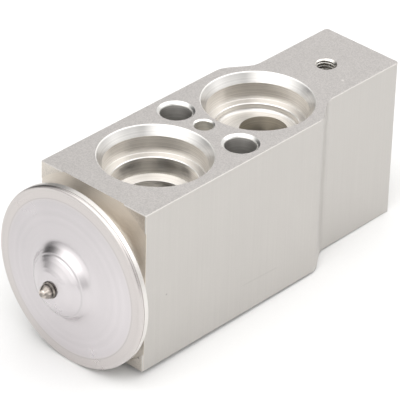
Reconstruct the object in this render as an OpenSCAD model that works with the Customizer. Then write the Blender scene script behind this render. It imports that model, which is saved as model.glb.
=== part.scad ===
// Block type thermostatic expansion valve for a vehicle air conditioner.
// The origin is midway between the two bolt holes, on the back (evaporator) face.
// +X runs from the power head to the adjusting screw, +Z from the back face to the pipe face.
// Places along the valve are measured from the block's head end, and are written as u.

/* [Block] */
// Length of the block along the valve
body_length = 90; // [84:0.5:110]
// Width of the block over its ports
body_width = 32; // [30:0.5:44]
// Width of the block's narrow end
nose_width = 22.5; // [19:0.5:28]
// Depth of the block from the back face to the pipe face
body_depth = 41; // [38:0.5:56]
// Place of the shoulder's outer corner, from the head end
shoulder_from_head = 58.1; // [56:0.1:60]
// Slope of the shoulder against the flank, in degrees
shoulder_angle = 35; // [25:1:50]
// Radius of the shoulder's two bends
shoulder_r = 5.5; // [2:0.5:7]
// Corner radius at the narrow end
nose_corner_r = 1; // [0.4:0.1:3]
// Corner radius at the head end
head_corner_r = 0.3; // [0.2:0.1:1]

/* [Fixing holes] */
// Place of the two bolt holes, from the head end
bolt_from_head = 36.8; // [36:0.1:37.6]
// Distance between the two bolt holes
bolt_spacing = 19.85; // [18.6:0.05:21]
// Diameter of each bolt hole
bolt_hole_d = 7.2; // [6:0.1:7.6]
// Chamfer at both mouths of a bolt hole
bolt_chamfer = 0.8; // [0.2:0.1:1]
// Diameter of the blind locating hole
locating_hole_d = 4.4; // [3:0.1:5]
// Depth of the blind locating hole
locating_hole_depth = 7; // [4:0.5:10]
// Offset of the locating hole from the centre line
locating_hole_y = 1.3; // [0:0.1:1.5]
// Place of the threaded stud hole, from the head end
stud_from_head = 77; // [74:0.5:80]
// Core diameter of the threaded stud hole
stud_core_d = 4.2; // [3.3:0.1:5]
// Thread diameter of the stud hole
stud_thread_d = 5; // [4:0.5:6]
// Depth of the threaded stud hole
stud_depth = 10; // [6:0.5:11]

/* [Ports] */
// Place of the suction ports, from the head end
suction_from_head = 19.7; // [18.5:0.1:20.5]
// Place of the liquid ports, from the head end
liquid_from_head = 53.5; // [52.6:0.1:55]
// Mouth diameter of each port
port_mouth_d = 26.6; // [25:0.1:28]
// Small break at each port's mouth
port_edge = 0.2; // [0.1:0.1:0.4]
// Bore diameter of each port
port_bore_d = 23.7; // [22:0.1:24.5]
// Depth of the lead-in cone
port_cone_depth = 2.3; // [1:0.1:3]
// Depth of the port's seal ledge
port_ledge_depth = 6.6; // [5:0.1:8]
// Diameter of the bore below the ledge
port_inner_d = 19.7; // [18:0.1:21]
// Chamfer at the ledge's inner edge
ledge_chamfer = 0.2; // [0.1:0.1:0.4]
// Depth of the suction port's inner bore
suction_inner_depth = 11; // [9:0.1:12]
// Drop of the suction port's sloping floor
suction_floor_drop = 0.5; // [0.2:0.1:1.5]
// Diameter of the suction passage through the block
suction_passage_d = 15.3; // [12:0.1:15.8]
// Depth of the liquid port's floor
liquid_floor_depth = 8.6; // [7.8:0.1:9.6]
// Fillet round the liquid port's floor
liquid_floor_r = 1; // [0.3:0.1:1.2]
// Diameter of the liquid inlet hole
inlet_hole_d = 11.2; // [9:0.1:11.4]
// Offset of the inlet hole from its port, away from the head
inlet_offset = 2.3; // [1.8:0.1:2.8]
// Diameter of the outlet hole in the back port
outlet_hole_d = 7; // [6:0.1:7.4]
// Offset of the outlet hole from its port, towards the head
outlet_offset = 5.9; // [5.6:0.1:6]
// Point angle of a drilled hole, in degrees
drill_angle = 118; // [90:1:140]

/* [Power head] */
// Outer diameter of the power head
head_d = 44; // [41:0.5:50]
// Gap between the block's end face and the head's flange
flange_gap = 4.7; // [4.2:0.1:7]
// Thickness of the housing's flange
housing_flange_t = 1.3; // [1.1:0.05:1.5]
// Thickness of the housing's dished wall
housing_wall_t = 1.5; // [1.2:0.1:1.8]
// Thickness of the cover's sheet
cover_t = 0.8; // [0.5:0.05:1]
// Thickness of the diaphragm
diaphragm_t = 0.15; // [0.1:0.05:0.3]
// Width of the flat flange that clamps the diaphragm
clamp_flange_w = 3.3; // [2.8:0.1:3.8]
// Width of the cover's flat rim
cover_rim_w = 1.4; // [1:0.1:2]
// Radius of the rounding on the cover's outer edge
cover_edge_r = 0.6; // [0.4:0.05:0.7]
// Rise of the cover's face from its rim to the boss
cover_rise = 1.3; // [1.1:0.05:1.6]
// Foot diameter of the cover's boss
boss_foot_d = 21.2; // [20:0.2:23]
// Diameter of the foot of the boss's steep wall
boss_wall_d = 17.2; // [16.6:0.2:18.4]
// Diameter of the narrow ledge over the wall
boss_ledge_d = 14.7; // [14.4:0.1:15.2]
// Diameter of the dome's root, inside the ledge
boss_root_d = 14.1; // [13.4:0.1:14.2]
// Diameter of the dome's brow
boss_brow_d = 11.8; // [11:0.2:12.4]
// Diameter of the dome's crown
boss_crown_d = 8.2; // [7.6:0.2:9]
// Rise of the boss's apron from its foot to the wall
boss_apron_h = 0.6; // [0.3:0.1:1]
// Height of the boss's steep wall
boss_wall_h = 1.95; // [1.5:0.05:2.3]
// Height of the dome above the ledge
boss_dome_h = 2.3; // [2:0.1:2.6]
// Diameter of the charge plug
plug_d = 3.3; // [3:0.1:3.6]
// Length of the charge plug outside the cover
plug_length = 2.6; // [2.2:0.1:4]
// Diameter of the charge plug's collar
plug_collar_d = 4.1; // [3.9:0.1:4.6]
// Height of the charge plug's collar
plug_collar_h = 0.4; // [0.3:0.05:0.6]

/* [Head seat] */
// Diameter of the milled spot face under the head
spot_face_d = 45; // [44:0.5:50]
// Depth of the milled spot face
spot_face_depth = 0.3; // [0.1:0.1:0.5]
// Diameter of the housing's seat on the spot face
hub_d = 31; // [28.5:0.5:31.5]
// Outer diameter of the threaded neck
neck_d = 20.9; // [20:0.1:22]
// Wall of the threaded neck
neck_wall = 1.65; // [1.2:0.05:2]
// Length of the neck below its seat
neck_length = 8.3; // [6:0.1:9]
// Section diameter of the neck's seal
neck_seal_section = 1.8; // [1.4:0.1:2]

/* [Sensing rod] */
// Diameter of the sensing rod
rod_d = 6.4; // [5:0.1:7]
// Play round a sliding or screwed piece, on the radius
fit_play = 0.05; // [0.02:0.01:0.1]
// Gap at a stop or a seat that a moving piece rests on
stop_gap = 0.02; // [0.01:0.01:0.05]
// Diameter of the diaphragm pad
pad_d = 26.8; // [24:0.2:28]
// Hub diameter of the diaphragm pad
pad_hub_d = 10.4; // [9.5:0.1:12]
// Foot width of the pad on the housing's floor
pad_foot_w = 3; // [2:0.1:4]
// Relief above the floor between the pad's foot and its hub
pad_relief = 1; // [0.5:0.1:1.5]
// Width of each vapour slot across the pad's foot
pad_slot_w = 3; // [2:0.2:4]
// Number of vapour slots across the pad's foot
pad_slots = 4; // [3:1:6]
// Length of the pad's hub below the housing's floor
pad_hub_drop = 3.8; // [3:0.1:6]
// Length of the rod's seat in the pad's hub
rod_seat_length = 5.5; // [4:0.1:6]
// Section diameter of the rod's seal
rod_seal_section = 1.4; // [1.2:0.1:1.8]
// Depth of the rod seal's seat below the suction passage
rod_seal_depth = 3.6; // [3.2:0.1:5]
// Sheet thickness of the seal's retainer
retainer_t = 0.4; // [0.3:0.05:0.6]
// Number of teeth of the seal's retainer
retainer_teeth = 6; // [4:1:8]
// Length of the rod's guide in the block
rod_guide_length = 11.6; // [9:0.1:12]
// Diameter of the push pin
pin_d = 2.2; // [1.6:0.1:2.6]
// Length of the pin's seat in the rod
pin_seat_length = 3; // [2:0.1:5]
// Length of the pin's guide in the block
pin_guide_length = 2; // [1:0.1:2.6]

/* [Valve] */
// Diameter of the valve ball
ball_d = 4.76; // [4.4:0.01:5.4]
// Diameter of the orifice
orifice_d = 4; // [3.4:0.1:4.3]
// Lift of the ball, from shut to fully open
lift = 0.7; // [0.4:0.05:0.8]
// Distance of the seat's face from the liquid port's centre
seat_offset = 0.3; // [0.1:0.1:0.8]
// Outer diameter of the seat ring
seat_d = 8.8; // [8.2:0.1:9]
// Length of the seat ring
seat_length = 2.4; // [1.8:0.1:2.6]
// Diameter of the throat before the orifice
throat_d = 6.8; // [5.6:0.1:7]
// Diameter of the valve chamber
chamber_d = 14; // [13.6:0.1:14.4]
// Diameter of the ball holder's stem
holder_stem_d = 6; // [5.4:0.1:6.4]
// Diameter of the ball holder's flange
holder_flange_d = 12; // [11.6:0.1:12.2]
// Thickness of the ball holder's flange
holder_flange_t = 1.4; // [1:0.1:2]
// Length of the ball holder's spring pilot
holder_pilot_length = 3.4; // [2:0.1:5]
// Sheet thickness of the damping spring
damper_t = 0.25; // [0.15:0.05:0.3]
// Width of each leg of the damping spring
damper_leg_w = 2.6; // [2:0.1:3.4]
// Length of each leg of the damping spring
damper_leg_length = 5.6; // [4:0.1:8]
// Number of legs of the damping spring
damper_legs = 3; // [3:1:5]
// Wire diameter of the valve spring
spring_wire_d = 1.3; // [1:0.05:1.5]
// Mean diameter of the valve spring
spring_mean_d = 9.8; // [9.6:0.1:10]
// Number of turns of the valve spring, with its closed ends
spring_turns = 6.5; // [5:0.5:7.5]

/* [Adjusting screw] */
// Thread diameter of the adjusting screw
screw_thread_d = 15; // [14.8:0.1:16]
// Length of the thread in the block
screw_thread_length = 13.5; // [12:0.5:15]
// Depth of the screw's outer face inside the block's end
screw_recess = 2.5; // [2:0.1:4]
// Overall length of the adjusting screw
screw_length = 16.5; // [15.5:0.1:18]
// Length of the screw's threaded part
screw_threaded_length = 9.3; // [7:0.1:9.4]
// Depth of the spring's seat in the screw
spring_seat_depth = 2.5; // [1.5:0.1:3]
// Rim left round the spring's seat
spring_seat_rim = 1; // [0.7:0.1:1.1]
// Width across the flats of the screw's hexagon socket
socket_af = 8; // [6:0.5:9]
// Depth of the hexagon socket
socket_depth = 5; // [3:0.5:6]
// Section diameter of the screw's seal
screw_seal_section = 1.4; // [1.2:0.1:1.6]
// Chamfer at the mouth of the screw's thread
screw_mouth_chamfer = 0.8; // [0.3:0.1:1.5]

/* [Hidden] */
$fn = 96;

// How far a cut runs past the face that it opens
past = 1;
// Angle between two points of a bend in a profile
bend_step = 15;
axis_z = body_depth / 2;

// Chamfers and grooves that go with the sizes above
plug_tip_r = 0.75;
plug_tip_length = 1.2;
plug_stem_step = 0.2;
cover_bend_r = 3;
dome_bend_r = 2;
boss_ledge_slope = 0.12;
boss_brow_drop = 1.28;
boss_crown_drop = 0.32;
holder_bore_d = 3;
rod_chamber_step = 1.5;
pad_edge_t = 1.4;
stud_chamfer = (stud_thread_d - stud_core_d) / 2 + 0.08;
locating_chamfer = 0.35;
small_chamfer = 0.3;

// Bores along the valve, each by where it ends, from the head end
neck_bore_end = spot_face_depth + neck_length + 0.7;
suction_wall = suction_from_head + suction_passage_d / 2;
rod_guide_start = suction_wall + rod_seal_depth;
rod_guide_end = rod_guide_start + rod_guide_length;
throat_start = rod_guide_end + pin_guide_length;
seat_face = liquid_from_head + seat_offset;
seat_start = seat_face - seat_length;
screw_thread_start = body_length - screw_thread_length;
neck_bore_d = neck_d - 2 * neck_wall;
rod_chamber_d = neck_bore_d - 2 * rod_chamber_step;
rod_seal_mean_d = rod_d + 2 * fit_play + rod_seal_section;
rod_seal_seat_d = rod_seal_mean_d + rod_seal_section + 2 * fit_play;
neck_seal_mean_d = neck_d + 2 * fit_play + neck_seal_section;
neck_seal_seat_d = neck_seal_mean_d + neck_seal_section + 2 * fit_play;

// Heights on the power head, measured outwards from the block's end face
housing_seat = -spot_face_depth;
housing_floor = housing_seat + housing_wall_t;
flange_top = flange_gap + housing_flange_t;
cover_face = flange_top + diaphragm_t + cover_t;
cover_mid = cover_face - cover_t / 2;
// When the valve is open, the diaphragm hangs half a lift below its clamped rim
pad_top = flange_top - lift / 2;
pad_bottom = housing_floor + stop_gap;
flange_lip_r = head_d / 2 - clamp_flange_w;
boss_top = cover_face + cover_rise + boss_apron_h + boss_wall_h + boss_dome_h;

// Places of the moving parts at rest, where the charged head holds the valve open
ball_centre = seat_face + sqrt(pow(ball_d / 2, 2) - pow(orifice_d / 2, 2)) + stop_gap + lift;
pin_end = ball_centre - ball_d / 2;
rod_end = rod_guide_end - lift - 0.1;
rod_top = -(pad_bottom - pad_hub_drop + rod_seat_length);
holder_cone_r = holder_stem_d / 2 - 0.8;
holder_contact_r = ball_d / 2 * cos(60);
holder_front = ball_centre + ball_d / 2 * sin(60) - (holder_cone_r - holder_contact_r) / tan(60);
holder_flange = ball_centre + ball_d / 2 + 0.8;
holder_back = holder_flange + holder_flange_t;
holder_pilot_d = spring_mean_d - spring_wire_d - 0.4;
damper_r = holder_flange_d / 2 + 0.15;
screw_face = body_length - screw_recess;
screw_front = screw_face - screw_length;
spring_end = screw_front + spring_seat_depth;
screw_seal_mean_d = chamber_d - 2 * fit_play - screw_seal_section;
screw_groove_d = screw_seal_mean_d - screw_seal_section - 2 * stop_gap;
screw_groove_w = screw_seal_section + 0.5;
screw_groove = spring_end + 1.2;

// Points of a path whose corners, given as [x, y, radius], are rounded
function unit(v) = v / norm(v);
function turn_of(a, b) = acos(max(-1, min(1, a * b)));
function bend(a, p, b) =
    let (d0 = unit([p[0] - a[0], p[1] - a[1]]),
         d1 = unit([b[0] - p[0], b[1] - p[1]]),
         turn = turn_of(d0, d1),
         back = p[2] * tan(turn / 2),
         side = sign(d0[0] * d1[1] - d0[1] * d1[0]),
         centre = [p[0], p[1]] - back * d0 + p[2] * side * [-d0[1], d0[0]],
         steps = max(1, ceil(turn / bend_step)))
    p[2] == 0 || turn < 0.5
        ? [[p[0], p[1]]]
        : [for (i = [0:steps])
            let (a1 = i / steps * turn * side,
                 arm = p[2] * side * [d0[1], -d0[0]])
            centre + [arm[0] * cos(a1) - arm[1] * sin(a1), arm[0] * sin(a1) + arm[1] * cos(a1)]];
function rounded(p) =
    [for (i = [0:len(p) - 1]) each bend(p[(i + len(p) - 1) % len(p)], p[i], p[(i + 1) % len(p)])];
function rounded_open(p) =
    [each [[p[0][0], p[0][1]]],
     for (i = [1:len(p) - 2]) each bend(p[i - 1], p[i], p[i + 1]),
     [p[len(p) - 1][0], p[len(p) - 1][1]]];

// Outline of a sheet of thickness t whose middle follows an open path
function path_normal(q, i) =
    let (a = q[max(i - 1, 0)], b = q[min(i + 1, len(q) - 1)], d = unit(b - a)) [-d[1], d[0]];
function sheet(p, t) =
    let (q = rounded_open(p), n = len(q) - 1)
    concat([for (i = [0:n]) q[i] + t / 2 * path_normal(q, i)],
           [for (i = [n:-1:0]) q[i] - t / 2 * path_normal(q, i)]);

// Points of a closed coil spring from z = 0 to z = length
function coil_z(t, turns, wire, length) =
    let (pitch = (length - 2 * wire) / (turns - 2))
    t < 1 ? wire * t : t < turns - 1 ? wire + (t - 1) * pitch : length - wire * (turns - t);

// Moves a shape that stands on z = 0 to place u of the valve's axis, pointing along +X
module along(u) {
    translate([u - bolt_from_head, 0, axis_z]) rotate([0, 90, 0]) children();
}

// Moves a shape to the block's head end, pointing out of the block
module at_head() {
    translate([-bolt_from_head, 0, axis_z]) rotate([0, -90, 0]) children();
}

module bore_along(from, to, d) {
    along(from) cylinder(h = to - from, d = d);
}

module ring_seal(mean_d, section) {
    rotate_extrude() translate([mean_d / 2, 0]) circle(d = section, $fn = 32);
}

// A drilled hole from z = 0 down, with the cone that the drill leaves
module drilled(d, depth) {
    tip = d / 2 / tan(drill_angle / 2);
    rotate_extrude()
        polygon([[0, past], [d / 2, past], [d / 2, -depth], [0, -depth - tip]]);
}

// A mouth chamfer, from z = 0 down
module mouth(d, chamfer) {
    rotate_extrude()
        polygon([[0, past], [d / 2 + chamfer, past], [d / 2 + chamfer, 0], [d / 2, -chamfer],
                 [0, -chamfer]]);
}

module block_outline() {
    run = (body_width - nose_width) / 2 / tan(shoulder_angle);
    half = [[0, -body_width / 2, head_corner_r],
            [shoulder_from_head, -body_width / 2, shoulder_r],
            [shoulder_from_head + run, -nose_width / 2, shoulder_r],
            [body_length, -nose_width / 2, nose_corner_r]];
    other = [for (i = [len(half) - 1:-1:0]) [half[i][0], -half[i][1], half[i][2]]];
    translate([-bolt_from_head, 0]) polygon(rounded(concat(half, other)));
}

// Steps shared by all four ports, from the face down to the ledge
port_steps = [[port_mouth_d / 2, past, 0],
              [port_mouth_d / 2, 0, 0],
              [port_mouth_d / 2 - port_edge, -port_edge, 0],
              [port_bore_d / 2, -port_cone_depth, 0],
              [port_bore_d / 2, -port_ledge_depth, ledge_chamfer],
              [port_inner_d / 2 + ledge_chamfer, -port_ledge_depth, 0],
              [port_inner_d / 2, -port_ledge_depth - ledge_chamfer, 0]];

module suction_port() {
    rotate_extrude()
        polygon(rounded(concat([[0, past, 0]], port_steps,
            [[port_inner_d / 2, -suction_inner_depth, 0],
             [suction_passage_d / 2, -suction_inner_depth - suction_floor_drop, 0],
             [0, -suction_inner_depth - suction_floor_drop, 0]])));
}

module liquid_port() {
    rotate_extrude()
        polygon(rounded(concat([[0, past, 0]], port_steps,
            [[port_inner_d / 2, -liquid_floor_depth, liquid_floor_r],
             [0, -liquid_floor_depth, 0]])));
}

// Places a shape on the pipe face and its mirror image on the back face
module on_both_faces() {
    translate([0, 0, body_depth]) children();
    mirror([0, 0, 1]) children();
}

module valve_body() {
    suction_x = suction_from_head - bolt_from_head;
    liquid_x = liquid_from_head - bolt_from_head;
    color([0.79, 0.78, 0.77]) difference() {
        linear_extrude(body_depth) block_outline();

        // Ports and passages across the block
        translate([suction_x, 0, 0]) {
            on_both_faces() suction_port();
            cylinder(h = body_depth, d = suction_passage_d);
        }
        translate([liquid_x, 0, 0]) on_both_faces() liquid_port();
        translate([liquid_x + inlet_offset, 0, body_depth - liquid_floor_depth])
            drilled(inlet_hole_d, body_depth - liquid_floor_depth - axis_z - chamber_d / 2 + 0.3);
        translate([liquid_x - outlet_offset, 0, liquid_floor_depth])
            mirror([0, 0, 1]) drilled(outlet_hole_d, axis_z - liquid_floor_depth - 1.5);

        // Fixing holes
        for (side = [-1, 1]) translate([0, side * bolt_spacing / 2, 0]) {
            translate([0, 0, -past]) cylinder(h = body_depth + 2 * past, d = bolt_hole_d);
            on_both_faces() mouth(bolt_hole_d, bolt_chamfer);
        }
        translate([0, locating_hole_y, body_depth]) {
            drilled(locating_hole_d, locating_hole_depth);
            mouth(locating_hole_d, locating_chamfer);
        }
        translate([stud_from_head - bolt_from_head, 0, body_depth]) {
            drilled(stud_core_d, stud_depth);
            mouth(stud_core_d, stud_chamfer);
        }

        // Seat of the power head and bores of the sensing rod
        bore_along(-past, spot_face_depth, spot_face_d);
        bore_along(0, spot_face_depth + neck_seal_section + 2 * fit_play, neck_seal_seat_d);
        bore_along(0, neck_bore_end, neck_d + 2 * fit_play);
        bore_along(neck_bore_end - past, suction_from_head, rod_chamber_d);
        bore_along(suction_from_head, rod_guide_start, rod_seal_seat_d);
        bore_along(suction_from_head, rod_guide_end, rod_d + 2 * fit_play);
        bore_along(suction_from_head, throat_start + past, pin_d + 2 * fit_play);

        // Bores of the valve and of the adjusting screw
        bore_along(throat_start, seat_face, throat_d);
        bore_along(seat_start, seat_face + past, seat_d);
        bore_along(seat_face, body_length, chamber_d);
        bore_along(screw_thread_start, body_length + past, screw_thread_d + 2 * fit_play);
        along(body_length) mouth(screw_thread_d + 2 * fit_play, screw_mouth_chamfer);
    }
}

module head_cover() {
    rim = head_d / 2;
    face = cover_mid + cover_rise;
    apron = face + boss_apron_h;
    ledge = apron + boss_wall_h;
    top = ledge + boss_dome_h;
    middle = [[rim, cover_mid, 0],
              [rim - cover_rim_w, cover_mid, cover_bend_r],
              [boss_foot_d / 2, face, cover_bend_r],
              [boss_wall_d / 2, apron, 0.7],
              [boss_ledge_d / 2, ledge, 0.3],
              [boss_root_d / 2, ledge + boss_ledge_slope, 0.5],
              [boss_brow_d / 2, top - boss_brow_drop, dome_bend_r],
              [boss_crown_d / 2, top - boss_crown_drop, dome_bend_r],
              [plug_collar_d / 2 + 0.5, top, 1.5],
              [plug_d / 2 - plug_stem_step, top, 0]];
    wall = sheet(middle, cover_t);
    edge = [for (a = [90:-bend_step:0])
        [rim - cover_edge_r * (1 - cos(a)), cover_face - cover_edge_r * (1 - sin(a))]];
    color([0.80, 0.78, 0.78]) at_head() rotate_extrude()
        polygon(concat([for (i = [0:len(wall) - 2]) wall[i]], edge));
}

module head_housing() {
    rim = head_d / 2;
    slope_in = hub_d / 2;
    profile = [[rim, flange_gap, 0.25],
               [rim, flange_top, 0.25],
               [flange_lip_r, flange_top, 0.6],
               [slope_in - 0.6, housing_floor, 1],
               [neck_bore_d / 2, housing_floor, 0.4],
               [neck_bore_d / 2, housing_seat - neck_length, 0],
               [neck_d / 2 - 0.6, housing_seat - neck_length, 0],
               [neck_d / 2, housing_seat - neck_length + 0.6, 0],
               [neck_d / 2, housing_seat, 0],
               [slope_in, housing_seat, 0],
               [slope_in, housing_seat + 0.5, 0.3],
               [flange_lip_r + 0.5, flange_gap, 1]];
    color([0.72, 0.71, 0.70]) at_head() rotate_extrude() polygon(rounded(profile));
}

// The clamped rim lies in the flange's plane, with two waves between it and the pad
module diaphragm() {
    rim = head_d / 2 - 0.2;
    rim_mid = flange_top + diaphragm_t / 2;
    pad_mid = pad_top + stop_gap + diaphragm_t / 2;
    wave = (flange_lip_r - pad_d / 2) / 4;
    middle = [[rim, rim_mid, 0],
              [flange_lip_r, rim_mid, 0.5],
              [flange_lip_r - wave, pad_mid, 0.5],
              [flange_lip_r - 2 * wave, rim_mid, 0.5],
              [flange_lip_r - 3 * wave, pad_mid, 0.5],
              [0, pad_mid, 0]];
    color([0.66, 0.66, 0.65]) at_head() rotate_extrude() polygon(sheet(middle, diaphragm_t));
}

module diaphragm_pad() {
    foot_r = neck_bore_d / 2 + 0.5;
    relief = pad_bottom + pad_relief;
    profile = [[0, pad_top, 0],
               [pad_d / 2, pad_top, 0.8],
               [pad_d / 2, pad_top - pad_edge_t, 0.3],
               [foot_r + pad_foot_w, pad_bottom, 0.3],
               [foot_r, pad_bottom, 0],
               [foot_r - 0.6, relief, 0],
               [pad_hub_d / 2, relief, 0.3],
               [pad_hub_d / 2, pad_bottom - pad_hub_drop, small_chamfer],
               [0, pad_bottom - pad_hub_drop, 0]];
    color([0.70, 0.66, 0.55]) at_head() difference() {
        rotate_extrude() polygon(rounded(profile));
        translate([0, 0, -rod_top])
            mirror([0, 0, 1]) cylinder(h = rod_seat_length + past, d = rod_d + 2 * fit_play);
        for (i = [0:pad_slots - 1]) rotate([0, 0, (i + 0.5) * 360 / pad_slots])
            translate([pad_hub_d / 2 + 0.5, -pad_slot_w / 2, pad_bottom - past])
                cube([pad_d / 2, pad_slot_w, past + pad_relief]);
    }
}

module charge_plug() {
    r = plug_d / 2;
    collar_r = plug_collar_d / 2;
    collar_top = boss_top + plug_collar_h;
    top = boss_top + plug_length;
    stem_r = r - plug_stem_step - stop_gap;
    stem_end = boss_top - cover_t - 0.4;
    profile = [[0, top, 0],
               [plug_tip_r, top, 0.4],
               [r, top - plug_tip_length, 0.6],
               [r, collar_top + 0.1, 0.1],
               [collar_r - 0.15, collar_top, 0.1],
               [collar_r, collar_top - 0.15, 0.1],
               [collar_r, boss_top, 0],
               [stem_r, boss_top, 0],
               [stem_r, stem_end, 0.2],
               [0, stem_end, 0]];
    color([0.62, 0.58, 0.50]) at_head() rotate_extrude() polygon(rounded(profile));
}

module head_seal() {
    color([0.10, 0.10, 0.10]) along(spot_face_depth + neck_seal_section / 2 + fit_play)
        ring_seal(neck_seal_mean_d, neck_seal_section);
}

module sensing_rod() {
    r = rod_d / 2;
    color([0.76, 0.75, 0.72]) along(rod_top) difference() {
        rotate_extrude()
            polygon([[0, 0], [r - small_chamfer, 0], [r, small_chamfer],
                     [r, rod_end - rod_top - small_chamfer], [r - small_chamfer, rod_end - rod_top],
                     [0, rod_end - rod_top]]);
        translate([0, 0, rod_end - rod_top - pin_seat_length])
            cylinder(h = pin_seat_length + past, d = pin_d + 2 * stop_gap);
    }
}

module rod_seal() {
    color([0.10, 0.10, 0.10]) along(rod_guide_start - rod_seal_section / 2 - fit_play)
        ring_seal(rod_seal_mean_d, rod_seal_section);
}

// A dished ring whose teeth bite into the bore and keep the seal in
module rod_seal_retainer() {
    outer = rod_seal_seat_d / 2 - stop_gap;
    inner = rod_d / 2 + 0.3;
    dish = 0.5;
    depth = rod_seal_section + retainer_t + 0.3;
    color([0.74, 0.73, 0.71]) along(rod_guide_start - depth) difference() {
        rotate_extrude()
            polygon([[inner, 0], [outer, -dish], [outer, retainer_t - dish], [inner, retainer_t]]);
        for (i = [0:retainer_teeth - 1]) rotate([0, 0, i * 360 / retainer_teeth])
            translate([outer - 0.6, -0.4, -past]) cube([past, 0.8, 2 * past + retainer_t]);
    }
}

module push_pin() {
    length = pin_end - rod_end + pin_seat_length - stop_gap;
    color([0.72, 0.72, 0.72]) along(rod_end - pin_seat_length)
        rotate_extrude()
            polygon([[0, 0], [pin_d / 2, 0], [pin_d / 2, length - small_chamfer],
                     [pin_d / 2 - small_chamfer, length], [0, length]]);
}

module valve_seat() {
    throat_r = throat_d / 2 - 0.4;
    orifice_r = orifice_d / 2;
    outer = seat_d / 2 - stop_gap;
    lead = seat_length - 1;
    color([0.68, 0.66, 0.62]) along(seat_start)
        rotate_extrude()
            polygon([[throat_r, stop_gap], [outer - 0.2, stop_gap], [outer, 0.2 + stop_gap],
                     [outer, seat_length], [orifice_r, seat_length], [orifice_r, lead],
                     [throat_r, lead - (throat_r - orifice_r)]]);
}

module valve_ball() {
    color([0.78, 0.78, 0.79]) along(ball_centre) sphere(d = ball_d);
}

module ball_holder() {
    z0 = holder_front;
    stem_r = holder_stem_d / 2;
    cone_depth = holder_cone_r / tan(60);
    color([0.66, 0.66, 0.64]) along(z0) difference() {
        rotate_extrude()
            polygon([[0, cone_depth], [holder_cone_r, 0], [stem_r - 0.2, 0], [stem_r, 0.2],
                     [stem_r, holder_flange - z0], [holder_flange_d / 2, holder_flange - z0],
                     [holder_flange_d / 2, holder_back - z0], [holder_pilot_d / 2, holder_back - z0],
                     [holder_pilot_d / 2, holder_back - z0 + holder_pilot_length - 0.6],
                     [holder_pilot_d / 2 - 0.6, holder_back - z0 + holder_pilot_length],
                     [0, holder_back - z0 + holder_pilot_length]]);
        translate([0, 0, holder_back - z0]) cylinder(h = holder_pilot_length + past, d = holder_bore_d);
    }
}

// A washer under the holder's flange with legs that rub on the chamber's wall
module damping_spring() {
    leg_top = chamber_d / 2 - 0.1 - damper_t / 2;
    leg = [[damper_r - 1.2, -damper_t / 2, 0],
           [damper_r + damper_t / 2, -damper_t / 2, 0.3],
           [leg_top, damper_leg_length * 0.6, 1.5],
           [damper_r + damper_t / 2, damper_leg_length, 0]];
    color([0.73, 0.72, 0.70]) along(holder_flange - stop_gap) {
        difference() {
            translate([0, 0, -damper_t]) cylinder(h = damper_t, r = damper_r - 0.3);
            translate([0, 0, -past]) cylinder(h = 2 * past, d = holder_stem_d + 2 * stop_gap);
        }
        for (i = [0:damper_legs - 1]) rotate([90, 0, 60 + i * 360 / damper_legs])
            linear_extrude(damper_leg_w, center = true) polygon(sheet(leg, damper_t));
    }
}

module valve_spring() {
    length = spring_end - holder_back - 2 * stop_gap;
    sides = 8;
    per_turn = 16;
    rings = spring_turns * per_turn;
    // The wire runs half its size past both ends and is ground flat there
    points = [for (i = [0:rings], k = [0:sides - 1])
        let (t = i / per_turn,
             z = coil_z(t, spring_turns, spring_wire_d, length),
             r = spring_mean_d / 2 + spring_wire_d / 2 * cos(k * 360 / sides))
        [r * cos(360 * t), r * sin(360 * t), z + spring_wire_d / 2 * sin(k * 360 / sides)]];
    walls = [for (i = [0:rings - 1], k = [0:sides - 1])
        let (a = i * sides + k, b = i * sides + (k + 1) % sides)
        [a, a + sides, b + sides, b]];
    caps = [[for (k = [0:sides - 1]) k],
            [for (k = [sides - 1:-1:0]) rings * sides + k]];
    color([0.55, 0.55, 0.56]) along(holder_back + stop_gap) intersection() {
        polyhedron(points, concat(walls, caps));
        cylinder(h = length, d = spring_mean_d + 4 * spring_wire_d, $fn = 32);
    }
}

module adjusting_screw() {
    z0 = screw_front;
    nose_r = chamber_d / 2 - fit_play;
    thread_r = screw_thread_d / 2;
    thread_at = screw_length - screw_threaded_length;
    groove_r = screw_groove_d / 2;
    groove = screw_groove - z0;
    color([0.70, 0.68, 0.62]) along(z0) difference() {
        rotate_extrude()
            polygon([[0, spring_seat_depth], [nose_r - spring_seat_rim, spring_seat_depth],
                     [nose_r - spring_seat_rim, 0], [nose_r - small_chamfer, 0], [nose_r, small_chamfer],
                     [nose_r, groove], [groove_r, groove], [groove_r, groove + screw_groove_w],
                     [nose_r, groove + screw_groove_w], [nose_r, thread_at],
                     [thread_r - 0.1, thread_at], [thread_r, thread_at + 0.1],
                     [thread_r, screw_length - small_chamfer], [thread_r - small_chamfer, screw_length],
                     [0, screw_length]]);
        translate([0, 0, screw_length]) {
            translate([0, 0, -socket_depth]) cylinder(h = socket_depth + past, d = socket_af / cos(30), $fn = 6);
            mouth(socket_af, small_chamfer);
        }
    }
}

module adjuster_seal() {
    color([0.10, 0.10, 0.10]) along(screw_groove + screw_groove_w / 2)
        ring_seal(screw_seal_mean_d, screw_seal_section);
}

valve_body();
head_cover();
head_housing();
diaphragm();
diaphragm_pad();
charge_plug();
head_seal();
sensing_rod();
rod_seal();
rod_seal_retainer();
push_pin();
valve_seat();
valve_ball();
ball_holder();
damping_spring();
valve_spring();
adjusting_screw();
adjuster_seal();
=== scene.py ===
import bmesh
import bpy
import numpy as np
from mathutils import Matrix


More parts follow.
